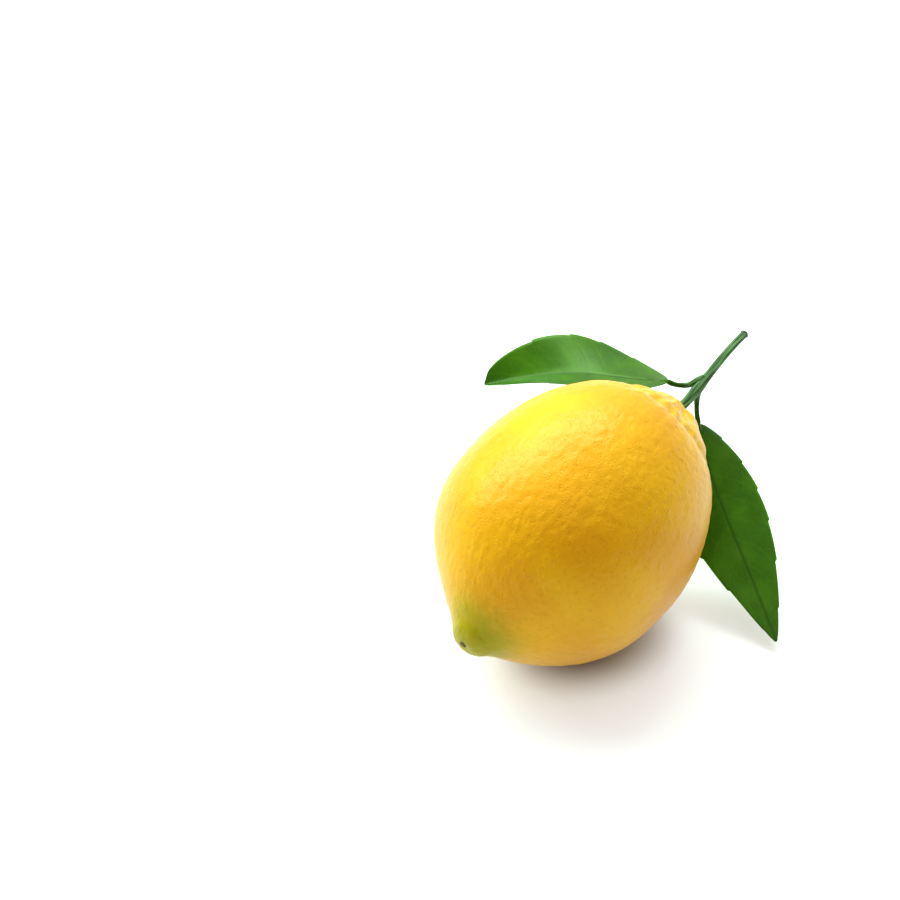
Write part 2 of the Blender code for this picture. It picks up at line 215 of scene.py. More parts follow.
def skin_points(directions, fine=False):
    """Skin points, from the fruit's middle, for unit directions with the fruit's axis along X."""
    along = np.where(directions[:, 0] >= 0.0, STEM_REACH, TIP_REACH) * directions[:, 0]
    around = np.arctan2(directions[:, 2], directions[:, 1])
    radius = turned_radius(along)
    ahead = turned_radius(np.minimum(along + PROFILE_STEP, STEM_REACH))
    behind = turned_radius(np.maximum(along - PROFILE_STEP, -TIP_REACH))
    slant = np.hypot(behind - ahead, 2.0 * PROFILE_STEP)
    relief = neck_relief(along, around) + body_relief(along, around)
    if fine:
        relief = relief + fine_relief(along, around)
    along = along + relief * (behind - ahead) / slant
    radius = np.where(np.abs(directions[:, 0]) > 0.999999, 0.0, radius + relief * 2.0 * PROFILE_STEP / slant)
    seat = SEAT_DEPTH * np.exp(-(radius / SEAT_RADIUS) ** 4)
    along = along - np.where(directions[:, 0] > math.sqrt(0.5), seat, 0.0)
    if fine:
        pit = PIT_DEPTH * np.exp(-(radius / PIT_RADIUS) ** 2)
        along = along + np.where(directions[:, 0] < -math.sqrt(0.5), pit, 0.0)
    own_place = np.stack((along, radius * np.cos(around), radius * np.sin(around)), axis=1)
    lean = ease((along - NECK_START) / (STEM_REACH - NECK_START))
    return own_place @ np.stack((OUTWARD, ACROSS, UPWARD)) + lean[:, None] * NECK_LEAN


def fruit_middle():
    """Place of the widest girth's middle, so that the lowest skin meets the ground."""
    angles = np.linspace(-math.pi / 4, math.pi / 4, 401)
    below = np.stack((np.sin(angles), np.zeros(401), -np.cos(angles)), axis=1)
    skin = skin_points(below)
    lowest = skin[np.argmin(skin[:, 2])]
    return np.array((-lowest[0], 0.0, -lowest[2] - REST_SPOT_DEPTH))


MIDDLE = fruit_middle()
SEAT = MIDDLE + skin_points(np.array(((1.0, 0.0, 0.0),)))[0]
print("fruit's middle:", np.round(MIDDLE / MM, 2), "calyx seat:", np.round(SEAT / MM, 2))

# %% [markdown]
# The camera looks down on the fruit from the blossom side, with a long lens from about half a metre, as
# for a small thing on a table. Placing it from the fruit's middle keeps the picture's framing the same if
# the fruit's height changes, so its distance and the two offsets from the picture's centre are the values.

# %% Camera
CAMERA_AZIMUTH = math.radians(-49.2)
CAMERA_ELEVATION = math.radians(35.0)
CAMERA_DISTANCE = 496.4 * MM
FRUIT_RIGHT_OF_CENTRE = 28.57 * MM
FRUIT_BELOW_CENTRE = 17.24 * MM
LENS_MM = 85.0
SENSOR_MM = 36.0


def into_scene(name, data):
    """Put a new object with the given data into the scene."""
    thing = bpy.data.objects.new(name, data)
    bpy.context.collection.objects.link(thing)
    return thing


right_way = Vector((math.cos(CAMERA_AZIMUTH), math.sin(CAMERA_AZIMUTH), 0.0))
back_way = Vector((
    math.sin(CAMERA_AZIMUTH) * math.cos(CAMERA_ELEVATION),
    -math.cos(CAMERA_AZIMUTH) * math.cos(CAMERA_ELEVATION),
    math.sin(CAMERA_ELEVATION),
))
up_way = back_way.cross(right_way)
lens = bpy.data.cameras.new("camera")
lens.lens = LENS_MM
lens.sensor_width = SENSOR_MM
lens.clip_start = 0.01
camera = into_scene("camera", lens)
camera.location = (
    Vector(MIDDLE) + back_way * CAMERA_DISTANCE
    - right_way * FRUIT_RIGHT_OF_CENTRE + up_way * FRUIT_BELOW_CENTRE
)
camera.rotation_euler = back_way.to_track_quat("Z", "Y").to_euler()
bpy.context.scene.camera = camera
print("camera:", [round(value, 3) for value in camera.location])

# %% [markdown]
# The light is a long soft box above and behind the fruit, to the picture's left. Its reflection lies as a
# pale band along the upper left of the rind, and the near side falls into a warm shade. It is faintly
# green, so the lit rind reads as lemon and not as orange. A white ceiling is a surround that is bright
# overhead and dim at the sides, which keeps the shadow on the floor short. The floor is a white panel that
# glows, and its glow is painted light: it fades out under the fruit, round a spot a little to the picture's
# right, which paints a deep shadow there and keeps it short around it. The camera sees an even backdrop.

# %% Lights and floor
KEY_DIRECTION = Vector((0.12, 0.58, 0.79))
KEY_LENGTH_WAY = Vector((0.79, -0.47, 0.40))
KEY_DISTANCE = 0.8
KEY_LENGTH = 1.4
KEY_HEIGHT = 0.34
KEY_POWER = 19.5
KEY_COLOUR = (0.8, 1.0, 0.9)
SURROUND_WAY = (0.30, 0.24, 0.92)
SURROUND_COLOURS = ((1.0, 0.88, 0.7, 1.0), (1.0, 0.98, 0.94, 1.0))
SURROUND_STRENGTHS = (0.27, 1.35)
BACKDROP = (1.0, 1.0, 1.0, 1.0)
FLOOR_SIZE = 6.0
PAINTED_FLOOR_GLOW = 0.45
PANEL_FADE = (8.0 * MM, 23.0 * MM)
PAINTED_SHADOW_STRETCH = (0.8, 1.0, 0.0)
PAINTED_SHADOW_SPOT = (6.2 * MM, -6.3 * MM, 0.0)

key = bpy.data.lights.new("soft_box", "AREA")
key.shape = "RECTANGLE"
key.size = KEY_LENGTH
key.size_y = KEY_HEIGHT
key.energy = KEY_POWER
key.color = KEY_COLOUR
soft_box = into_scene("soft_box", key)
away = KEY_DIRECTION.normalized()
height_way = away.cross(KEY_LENGTH_WAY).normalized()
soft_box.location = Vector(MIDDLE) + away * KEY_DISTANCE
soft_box.rotation_euler = Matrix((height_way.cross(away), height_way, away)).transposed().to_euler()
print("soft box:", [round(value, 2) for value in soft_box.location])

floor_mesh = bpy.data.meshes.new("floor")
reach = FLOOR_SIZE / 2
corners = [(-reach, -reach, 0), (reach, -reach, 0), (reach, reach, 0), (-reach, reach, 0)]
floor_mesh.from_pydata(corners, [], [(0, 1, 2, 3)])
floor = into_scene("floor", floor_mesh)
floor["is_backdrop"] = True

# %% [markdown]
# Every finish below is a small tree of shader nodes. One function turns a colour as it is written in a
# picture into the linear values that a shader mixes, and one adds a node with its settings and its links.
# With these two, a material reads from top to bottom as the layers of the real skin. Where one colour
# lies over another, a loop adds the layers in their order, each with the share of the skin that it covers.
# Inputs in round brackets are in the node's own order: for MapRange the value, the two ends of the range
# that it comes from, and the two ends of the range that it is turned into.

# %% Helpers for finishes
MIX_SHARE, MIX_A, MIX_B = 0, 6, 7
SMOOTH = {"interpolation_type": "SMOOTHSTEP"}
COLOURS = {"data_type": "RGBA"}


def srgb(hex_colour):
    """Turn a colour such as F5BE0A into linear red, green, blue and alpha."""
    parts = [int(hex_colour[place:place + 2], 16) / 255 for place in (0, 2, 4)]
    linear = [part / 12.92 if part <= 0.04045 else ((part + 0.055) / 1.055) ** 2.4 for part in parts]
    return (*linear, 1.0)


def feed(node, inputs):
    """Feed a node's inputs, by name or in order, from values, sockets, or nodes' first output in use."""
    for name, value in inputs.items() if isinstance(inputs, dict) else enumerate(inputs):
        if isinstance(value, bpy.types.Node):
            value = next(socket for socket in value.outputs if socket.enabled)
        if isinstance(value, bpy.types.NodeSocket):
            node.id_data.links.new(value, node.inputs[name])
        else:
            node.inputs[name].default_value = value


def add_node(tree, kind, inputs=(), **settings):
    """Add a node to a tree, with its settings and links. Math, for one, is short for ShaderNodeMath."""
    made = tree.nodes.new(kind if "Node" in kind else "ShaderNode" + kind)
    for name, value in settings.items():
        setattr(made, name, value)
    feed(made, inputs)
    return made


def start_finish(name, surface):
    """A new material, a way to add nodes to it, and its shader with its own values set."""
    material = bpy.data.materials.new(name)
    material.use_nodes = True
    shader = material.node_tree.nodes["Principled BSDF"]
    feed(shader, surface)
    return material, partial(add_node, material.node_tree), shader


floor_paint, add, shader = start_finish("matt_white_floor_with_painted_glow", {
    "Base Color": srgb("C0C4C9"), "Roughness": 0.9, "Emission Color": srgb("FFFFFF")})
# The floor's glow is painted light: it fades out round a spot under the fruit, which paints the fruit's
# shadow deep and short.
place = add("TexCoord").outputs["Object"]
off_spot = add("VectorMath", (place, PAINTED_SHADOW_SPOT), operation="SUBTRACT")
flat_place = add("VectorMath", (off_spot, PAINTED_SHADOW_STRETCH), operation="MULTIPLY")
from_fruit = add("VectorMath", (flat_place,), operation="LENGTH")
painted_floor_glow = add("MapRange", (from_fruit, PANEL_FADE[0], PANEL_FADE[1], 0.0, PAINTED_FLOOR_GLOW), **SMOOTH)
feed(shader, {"Emission Strength": painted_floor_glow})
floor_mesh.materials.append(floor_paint)

surround = bpy.data.worlds.new("surround")
surround.use_nodes = True
add = partial(add_node, surround.node_tree)
glow = surround.node_tree.nodes["Background"]
sight = add("TexCoord").outputs["Generated"]
behind = add("VectorMath", (sight, SURROUND_WAY), operation="DOT_PRODUCT")
walls = add("MapRange", (behind, 0.05, 1.0), **SMOOTH)
wall_colour = add("Mix", {
    MIX_SHARE: walls, MIX_A: SURROUND_COLOURS[0], MIX_B: SURROUND_COLOURS[1]}, **COLOURS)
wall_strength = add("MapRange", (walls, 0.0, 1.0, SURROUND_STRENGTHS[0], SURROUND_STRENGTHS[1]))
feed(glow, {"Color": wall_colour, "Strength": wall_strength})
backdrop = add("Background", {"Color": BACKDROP})
seen = add("LightPath").outputs["Is Camera Ray"]
shown = add("MixShader", (seen, glow, backdrop))
feed(surround.node_tree.nodes["World Output"], {"Surface": shown})
bpy.context.scene.world = surround
bpy.context.scene.view_settings.view_transform = "Standard"
print("floor glow: from", PANEL_FADE[0] / MM, "to", PANEL_FADE[1] / MM, "mm off its dark spot")

# %% [markdown]
# Lemon rind is waxed by the plant itself: a thin waxy coat over a skin full of oil glands, about one and a
# half millimetres apart. Light goes a little way in and comes out warmer, so it has some subsurface. The
# wax has an IOR near 1.45 and gives a broad, soft highlight. The colour drifts from lemon to gold over a
# few centimetres, glands are a touch deeper, and the nipple keeps the green of a fruit picked early. The
# furrow of the neck is a little paler, partly its own colour and partly a painted highlight.

# %% Finish of the rind
GLAND_SPACING = 1.5 * MM
PORE_SPACING = 0.75 * MM

rind, add, shader = start_finish("waxed_lemon_rind", {
    "Roughness": 0.36, "IOR": 1.45, "Specular IOR Level": 0.33, "Specular Tint": (1.0, 0.78, 0.42, 1.0),
    "Subsurface Weight": 0.08, "Subsurface Radius": (1.0, 0.45, 0.08), "Subsurface Scale": 1.5 * MM})
place = add("TexCoord").outputs["Object"]
drift = add("TexNoise", {"Vector": place, "Scale": 1 / (26 * MM), "Detail": 2.0})
drift_share = add("MapRange", (drift, 0.38, 0.62), **SMOOTH)
glands = add("TexVoronoi", {"Vector": place, "Scale": 1 / GLAND_SPACING})
gland_share = add("MapRange", (glands, 0.0, 0.45, 0.35, 0.0), **SMOOTH)
unripe = add("Attribute", attribute_name="unripe").outputs["Fac"]
patchy = add("TexNoise", {"Vector": place, "Scale": 1 / (2.6 * MM), "Detail": 3.0})
patchy_unripe = add("Math", (patchy, 0.5, -0.25), operation="MULTIPLY_ADD")
unripe_sum = add("Math", (unripe, patchy_unripe), operation="ADD")
unripe_share = add("MapRange", (unripe_sum, 0.05, 1.05, 0.0, 0.9), **SMOOTH)
# The neck's paler tint is partly the rind's own colour and partly a painted highlight on the furrow's ridge.
near_neck_furrow = add("Attribute", attribute_name="neck").outputs["Fac"]
neck_pale_and_sheen_share = add("Math", (near_neck_furrow, 0.25), operation="MULTIPLY")
rind_colour = srgb("D8A20B")
for cover, tint in (
    (drift_share, "D09208"), (gland_share, "BE8603"), (unripe_share, "8E8D08"), (neck_pale_and_sheen_share, "CEAD3F"),
):
    rind_colour = add("Mix", {MIX_SHARE: cover, MIX_A: rind_colour, MIX_B: srgb(tint)}, **COLOURS)
pores = add("TexVoronoi", {"Vector": place, "Scale": 1 / PORE_SPACING})
pore_height = add("MapRange", (pores, 0.0, 0.4), **SMOOTH)
grain = add("TexNoise", {"Vector": place, "Scale": 1 / (0.5 * MM), "Detail": 3.0})
grain_height = add("Math", (grain, 0.5, pore_height), operation="MULTIPLY_ADD")
bump = add("Bump", {"Strength": 0.75, "Distance": 0.09 * MM, "Height": grain_height})
feed(shader, {"Base Color": rind_colour, "Normal": bump})
print("rind: glands", GLAND_SPACING / MM, "mm apart")

# %% [markdown]
# The skin is one closed surface. A ball of rings pinches its faces at the poles, so the grid of a cube is
# blown up to a ball instead, and each of its directions is moved out to the skin's formula. Two values
# are kept on its points for the rind to read: how unripe it is, and how near the neck's furrow, where
# the rind is painted paler, partly as a painted highlight.

# %% Grid of the skin
SKIN_CELLS = 124
UNRIPE_START = 29.5 * MM
UNRIPE_LENGTH = 10.0 * MM
UNRIPE_SIDE = math.radians(150.0)
UNRIPE_UNEVENNESS = 0.18


def ball_grid(cells):
    """Unit directions of a cube's grid blown up to a ball, and the quads between them."""
    line = np.tan(np.linspace(-1.0, 1.0, cells + 1) * math.pi / 4)
    first, second = np.meshgrid(line, line, indexing="ij")
    ones = np.ones_like(first)
    sides = (
        (ones, first, second), (-ones, second, first), (second, ones, first),
        (first, -ones, second), (first, second, ones), (second, first, -ones),
    )
    corners = np.arange((cells + 1) ** 2).reshape(cells + 1, cells + 1)
    square = np.stack((corners[:-1, :-1], corners[1:, :-1], corners[1:, 1:], corners[:-1, 1:]), axis=-1)
    square = square.reshape(-1, 4)
    points = np.concatenate([np.stack(side, axis=-1).reshape(-1, 3) for side in sides])
    quads = np.concatenate([square + number * corners.size for number in range(len(sides))])
    points = points / np.linalg.norm(points, axis=1)[:, None]
    merged, place_of = np.unique(np.round(points, 6), axis=0, return_inverse=True)
    return merged / np.linalg.norm(merged, axis=1)[:, None], place_of.reshape(-1)[quads]


def new_thing(name, points, faces, marks=None):
    """A smooth mesh object from points and faces, with named values kept on its points."""
    mesh = bpy.data.meshes.new(name)
    mesh.from_pydata(np.asarray(points).tolist(), [], np.asarray(faces).tolist())
    for mark, values in (marks or {}).items():
        kind, field = ("FLOAT", "value") if np.ndim(values) == 1 else ("FLOAT_VECTOR", "vector")
        mesh.attributes.new(mark, kind, "POINT").data.foreach_set(field, np.ravel(values))
    mesh.shade_smooth()
    return into_scene(name, mesh)


directions, quads = ball_grid(SKIN_CELLS)
along_axis = np.where(directions[:, 0] >= 0.0, STEM_REACH, TIP_REACH) * directions[:, 0]
round_axis = np.arctan2(directions[:, 2], directions[:, 1])
unripe_side = 1.0 - UNRIPE_UNEVENNESS * (1.0 - np.cos(round_axis - UNRIPE_SIDE))
unripe_values = ease((-along_axis - UNRIPE_START) / UNRIPE_LENGTH) * unripe_side
neck_values = hump(along_axis - FURROW_PLACE, 2.0 * FURROW_WIDTH)
plain_skin = new_thing("plain_skin", MIDDLE + skin_points(directions, fine=True), quads,
                       {"unripe": unripe_values, "neck": neck_values})
print("skin:", len(directions), "points,", len(quads), "quads")

# %% [markdown]
# Thousands of oil glands dent the rind. They could be a bump in the shader alone, but real dents catch the
# light at the edge of the shade and on the outline, so Geometry Nodes push the points in: a Voronoi
# texture in millimetres sets one shallow dent for each gland, and a soft noise adds the low wrinkles that
# join them. A helper makes a tree with named inputs, and another runs it and keeps the plain mesh.

# %% Glands by Geometry Nodes
GLAND_DEPTH = 0.1 * MM
WRINKLE_SIZE = 2.3 * MM
WRINKLE_HEIGHT = 0.32 * MM


def start_tree(name, inputs):
    """A Geometry Nodes tree with a geometry going in and out, and named inputs by their kind."""
    tree = bpy.data.node_groups.new(name, "GeometryNodeTree")
    tree.interface.new_socket("Geometry", in_out="INPUT", socket_type="NodeSocketGeometry")
    for kind, labels in inputs.items():
        for label in labels:
            tree.interface.new_socket(label, in_out="INPUT", socket_type="NodeSocket" + kind)
    tree.interface.new_socket("Geometry", in_out="OUTPUT", socket_type="NodeSocketGeometry")
    add = partial(add_node, tree)
    return tree, add("NodeGroupInput").outputs, add


def end_tree(tree, geometry, material):
    """Close a tree: give its result a material and make any instances real."""
    painted = add_node(tree, "GeometryNodeSetMaterial", {"Geometry": geometry, "Material": material})
    real = add_node(tree, "GeometryNodeRealizeInstances", {"Geometry": painted})
    add_node(tree, "NodeGroupOutput", {"Geometry": real})


def tell(piece):
    """Print a piece's name and how many triangles it has."""
    print(f"{piece.name}: {sum(len(face.vertices) - 2 for face in piece.data.polygons)} triangles")


def run_tree(name, source, tree, values):
    """Run a tree on an object and return its result as a new object with a plain mesh."""
    modifier = source.modifiers.new(tree.name, "NODES")
    modifier.node_group = tree
    for item in tree.interface.items_tree:
        if item.in_out == "INPUT" and item.name in values:
            modifier[item.identifier] = values[item.name]
    ready = bpy.context.evaluated_depsgraph_get()
    grown = source.evaluated_get(ready)
    mesh = bpy.data.meshes.new_from_object(grown, preserve_all_data_layers=True, depsgraph=ready)
    mesh.name = name
    bpy.data.objects.remove(source, do_unlink=True)
    piece = into_scene(name, mesh)
    tell(piece)
    return piece


gland_tree, given, add = start_tree("rind_glands", {
    "Float": ("Gland Spacing", "Gland Depth", "Wrinkle Size", "Wrinkle Height", "Seed"),
    "Material": ("Material",)})
shift = add("CombineXYZ", {"X": given["Seed"]})
spot = add("GeometryNodeInputPosition")
moved_spot = add("VectorMath", (spot, shift), operation="ADD")
gland_scale = add("Math", (1.0, given["Gland Spacing"]), operation="DIVIDE")
gland_cells = add("TexVoronoi", {"Vector": moved_spot, "Scale": gland_scale})
dent = add("MapRange", (gland_cells, 0.0, 0.5, -1.0, 0.0), **SMOOTH)
dent_height = add("Math", (dent, given["Gland Depth"]), operation="MULTIPLY")
wrinkle_scale = add("Math", (1.0, given["Wrinkle Size"]), operation="DIVIDE")
wrinkle_noise = add("TexNoise", {"Vector": moved_spot, "Scale": wrinkle_scale, "Detail": 1.0})
wrinkle_level = add("Math", (wrinkle_noise, 0.6), operation="SUBTRACT")
skin_height = add("Math", (wrinkle_level, given["Wrinkle Height"], dent_height), operation="MULTIPLY_ADD")
skin_normal = add("GeometryNodeInputNormal")
skin_offset = add("VectorMath", {0: skin_normal, "Scale": skin_height}, operation="SCALE")
dented = add("GeometryNodeSetPosition", {"Geometry": given["Geometry"], "Offset": skin_offset})
end_tree(gland_tree, dented, given["Material"])

lemon_skin = run_tree("lemon_skin", plain_skin, gland_tree, {
    "Gland Spacing": GLAND_SPACING, "Gland Depth": GLAND_DEPTH, "Wrinkle Size": WRINKLE_SIZE,
    "Wrinkle Height": WRINKLE_HEIGHT, "Seed": 4.0, "Material": rind})

# %% [markdown]
# Where the fruit rests, its skin is pressed flat on the ground. The plain fruit has that spot cut off, so
# the fine skin's points that came out lower are laid on the same level. It then takes the fruit's place.

# %% Rest spot
spots = np.empty(len(lemon_skin.data.vertices) * 3)
lemon_skin.data.vertices.foreach_get("co", spots)
spots = spots.reshape(-1, 3)
print("points laid flat:", int((spots[:, 2] < 0.0).sum()))
spots[:, 2] = np.maximum(spots[:, 2], 0.0)
lemon_skin.data.vertices.foreach_set("co", spots.ravel())
lemon_skin.data.update()
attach(lemon_skin, "root")
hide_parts("fruit")

# %% [markdown]
# The style was the stalk inside the blossom. It falls off and leaves a dry brown scab in the pit at the
# tip. It is a small ball, flattened along the fruit's axis and roughened by two waves, sunk in the pit.

# %% Style scar
SCAR_RADIUS = 0.85 * MM
SCAR_HEIGHT = 0.25 * MM
SCAR_OFF_AXIS = 0.055
SCAR_SIDE = math.radians(73.0)
SCAR_WAVES = ((0.12, (0.0, 5.0, 3.0)), (0.1, (-4.0, 0.0, 9.0)))

dry_scab, add, shader = start_finish("dry_plant_scab", {"Roughness": 0.85, "IOR": 1.5})
place = add("TexCoord").outputs["Object"]
crumble = add("TexNoise", {"Vector": place, "Scale": 1 / (0.3 * MM), "Detail": 3.0})
scab_colour = add("Mix", {MIX_SHARE: crumble, MIX_A: srgb("2B2412"), MIX_B: srgb("7A6A2E")}, **COLOURS)
scab_bump = add("Bump", {"Distance": 0.1 * MM, "Height": crumble})
feed(shader, {"Base Color": scab_colour, "Normal": scab_bump})

ball, ball_quads = ball_grid(12)
rough = 1.0 + sum(height * np.sin(ball @ np.array(way)) for height, way in SCAR_WAVES)
flat_ball = ball * rough[:, None] * np.array((SCAR_HEIGHT, SCAR_RADIUS, SCAR_RADIUS))
turned_ball = flat_ball @ np.stack((OUTWARD, ACROSS, UPWARD))
scar_direction = np.array((-math.cos(SCAR_OFF_AXIS), math.sin(SCAR_OFF_AXIS) * math.cos(SCAR_SIDE),
                           math.sin(SCAR_OFF_AXIS) * math.sin(SCAR_SIDE)))
scar_place = MIDDLE + skin_points(scar_direction[None, :], fine=True)[0]
style_scar = new_thing("style_scar", scar_place + turned_ball, ball_quads)
style_scar.data.materials.append(dry_scab)
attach(style_scar, "root")
print("style scar at", np.round(scar_place / MM, 1))

# %% [markdown]
# The calyx is the green button that the fruit hangs from: five short, thick sepals joined in a disc, with
# corky edges. A turned profile gives the disc, and a wave round it draws out the five points and lets
# them bend down on the rind. It is sunk a little in its hollow, where the plain one stands just clear.

# %% Calyx
GAP = 0.3 * MM
CALYX_THICKNESS = 1.5 * MM
CALYX_RADIUS = 3.1 * MM
CALYX_SINK = 0.1 * MM
SEPALS = 5
SEPAL_POINT = 0.2
SEPAL_DROOP = 0.35 * MM
CALYX_SIDES = 120
CALYX_PROFILE = (
    (0.35, 0.0), (0.7, 0.02), (0.9, 0.1), (1.0, 0.25), (1.02, 0.4), (0.97, 0.55), (0.88, 0.66),
    (0.76, 0.74), (0.64, 0.8), (0.54, 0.88), (0.48, 0.98), (0.44, 1.1), (0.38, 1.15), (0.2, 1.16),
)

green_calyx, add, shader = start_finish("green_calyx", {"Roughness": 0.6, "IOR": 1.45})
place = add("TexCoord").outputs["Object"]
cork = add("TexNoise", {"Vector": place, "Scale": 1 / (0.8 * MM), "Detail": 4.0})
rim = add("Attribute", attribute_name="rim").outputs["Fac"]
cork_share = add("Math", (rim, 0.5, cork), operation="MULTIPLY_ADD")
cork_limit = add("MapRange", (cork_share, 0.45, 0.95), **SMOOTH)
calyx_colour = add("Mix", {MIX_SHARE: cork_limit, MIX_A: srgb("4F6A24"), MIX_B: srgb("8A8448")}, **COLOURS)
cork_bump = add("Bump", {"Strength": 0.7, "Distance": 0.12 * MM, "Height": cork})
feed(shader, {"Base Color": calyx_colour, "Normal": cork_bump})


def bridge(rings, count):
    """Quads between closed rings of points, numbered one ring after the other."""
    start = np.arange(count)
    turn = (start + 1) % count
    strip = np.stack((start, turn, turn + count, start + count), axis=1)
    return np.concatenate([strip + ring * count for ring in range(rings - 1)])


def close_ends(thing, count):
    """Fill the first and the last ring of a mesh of rings, and point its faces outwards."""
    builder = bmesh.new()
    builder.from_mesh(thing.data)
    builder.verts.ensure_lookup_table()
    builder.faces.new(builder.verts[:count])
    builder.faces.new(builder.verts[-count:])
    bmesh.ops.triangulate(builder, faces=[face for face in builder.faces if len(face.verts) > 4])
    bmesh.ops.recalc_face_normals(builder, faces=builder.faces)
    builder.to_mesh(thing.data)
    builder.free()
    thing.data.shade_smooth()


angles = np.arange(CALYX_SIDES) * math.tau / CALYX_SIDES
lobe = np.cos(SEPALS * angles)
rings = []
rims = []
for spread, height in CALYX_PROFILE:
    radius = CALYX_RADIUS * spread * (1.0 + SEPAL_POINT * spread * spread * lobe)
    rise = CALYX_THICKNESS * height - SEPAL_DROOP * spread ** 4 * (0.5 + 0.5 * lobe)
    rings.append(np.stack((radius * np.cos(angles), radius * np.sin(angles), rise), axis=1))
    rims.append(np.full(CALYX_SIDES, spread ** 3))
button = np.concatenate(rings)
button_foot = SEAT - OUTWARD * CALYX_SINK
button_points = button_foot + button @ np.stack((-UPWARD, ACROSS, OUTWARD))
calyx_button = new_thing("calyx_button", button_points, bridge(len(CALYX_PROFILE), CALYX_SIDES),
                         {"rim": np.concatenate(rims)})
close_ends(calyx_button, CALYX_SIDES)
calyx_button.data.materials.append(green_calyx)
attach(calyx_button, "root")
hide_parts("calyx")
print("calyx:", SEPALS, "sepals,", round(2 * CALYX_RADIUS / MM, 1), "mm across")

# %% [markdown]
# A young lemon shoot is green, angular and finely fluted, with strands of lighter and darker green along
# it. Its skin is waxy, like the leaf's, and dries dark towards the cut. The strands follow the shoot, so
# the finish reads two values that the shoot's tree will keep on its points: the share along it, and the
# share of a turn round it.

# %% Finish of the shoot
STRANDS = 14.0

shoot_skin, add, shader = start_finish("waxy_green_shoot", {
    "Roughness": 0.5, "IOR": 1.45, "Specular IOR Level": 0.22, "Specular Tint": (0.8, 1.0, 0.7, 1.0)})
along_node = add("Attribute", attribute_name="along").outputs["Fac"]
around_node = add("Attribute", attribute_name="around").outputs["Fac"]
strand_place = add("CombineXYZ", {"X": along_node, "Y": around_node})
strand_scaled = add("VectorMath", (strand_place, (3.0, STRANDS, 1.0)), operation="MULTIPLY")
strands = add("TexNoise", {"Vector": strand_scaled, "Scale": 1.0, "Detail": 3.0})
strand_share = add("MapRange", (strands, 0.35, 0.65), **SMOOTH)
place = add("TexCoord").outputs["Object"]
freckles = add("TexVoronoi", {"Vector": place, "Scale": 1 / (1.1 * MM)})
freckle_share = add("MapRange", (freckles, 0.08, 0.16, 0.6, 0.0), **SMOOTH)
dried = add("MapRange", (along_node, 0.9, 1.0, 0.0, 0.75), **SMOOTH)
shoot_colour = srgb("183410")
for cover, tint in ((strand_share, "5A8250"), (freckle_share, "6C8450"), (dried, "33362A")):
    shoot_colour = add("Mix", {MIX_SHARE: cover, MIX_A: shoot_colour, MIX_B: srgb(tint)}, **COLOURS)
strand_bump = add("Bump", {"Strength": 0.6, "Distance": 0.08 * MM, "Height": strands})
feed(shader, {"Base Color": shoot_colour, "Normal": strand_bump})
print("shoot:", int(STRANDS), "strands round it")

# %% [markdown]
# The shoot follows one cubic curve from the calyx to its cut end. Its shape is a rule along a path, so
# Geometry Nodes sweep it: a circle is carried along the curve, its radius tapers and swells at the node
# where the stalks join, and the points are then pushed out in four rounded ridges with fine flutes
# between them. The same tree, with other sizes, makes the cushion where each stalk leaves the shoot.

# %% Shoot by Geometry Nodes
TWIG_BENDS = ((46.8, -1.0, 12.9), (56.5, -0.2, 18.5))
TWIG_CUT_END = (68.15, 0.0, 20.1)
TWIG_BASE_RADIUS = 1.25 * MM
TWIG_END_RADIUS = 0.95 * MM
FOOT_FLARE = 0.35 * MM

shoot_tree, given, add = start_tree("ridged_shoot", {
    "Float": ("Base Radius", "End Radius", "Foot Flare", "Foot Share", "Node Place", "Node Spread",
              "Node Swelling", "Ridges", "Ridge Height", "Flute Height", "Twist"),
    "Int": ("Stations", "Sides"), "Material": ("Material",)})
even = add("GeometryNodeResampleCurve", {"Curve": given["Geometry"], "Count": given["Stations"]})
upright = add("GeometryNodeSetCurveNormal", {"Curve": even}, mode="Z_UP")
share = add("GeometryNodeSplineParameter")
marked = add("GeometryNodeStoreNamedAttribute", {
    "Geometry": upright, "Name": "along", "Value": share}, data_type="FLOAT", domain="POINT")
taper = add("MapRange", (share, 0.0, 1.0, given["Base Radius"], given["End Radius"]))
from_node = add("Math", (share, given["Node Place"]), operation="SUBTRACT")
in_spreads = add("Math", (from_node, given["Node Spread"]), operation="DIVIDE")
squared = add("Math", (in_spreads, in_spreads), operation="MULTIPLY")
lowered = add("Math", (squared, -1.0), operation="MULTIPLY")
swell = add("Math", (lowered,), operation="EXPONENT")
swollen = add("Math", (swell, given["Node Swelling"], taper), operation="MULTIPLY_ADD")
foot = add("MapRange", (share, 0.0, given["Foot Share"], given["Foot Flare"], 0.0), **SMOOTH)
radius = add("Math", (swollen, foot), operation="ADD")
circle = add("GeometryNodeCurvePrimitiveCircle", {"Resolution": given["Sides"], "Radius": 1.0})
turn_share = add("GeometryNodeSplineParameter")
marked_circle = add("GeometryNodeStoreNamedAttribute", {
    "Geometry": circle, "Name": "around", "Value": turn_share}, data_type="FLOAT", domain="POINT")
tube = add("GeometryNodeCurveToMesh", {
    "Curve": marked, "Profile Curve": marked_circle, "Scale": radius, "Fill Caps": True})
along = add("GeometryNodeInputNamedAttribute", {"Name": "along"}, data_type="FLOAT")
around = add("GeometryNodeInputNamedAttribute", {"Name": "around"}, data_type="FLOAT")
angle = add("Math", (around, math.tau), operation="MULTIPLY")
ridge_angle = add("Math", (angle, given["Ridges"]), operation="MULTIPLY")
twisted = add("Math", (along, given["Twist"], ridge_angle), operation="MULTIPLY_ADD")
ridge = add("Math", (twisted,), operation="COSINE")
flute_angle = add("Math", (twisted, 3.0), operation="MULTIPLY")
flute = add("Math", (flute_angle,), operation="COSINE")
flute_height = add("Math", (flute, given["Flute Height"]), operation="MULTIPLY")
relief = add("Math", (ridge, given["Ridge Height"], flute_height), operation="MULTIPLY_ADD")
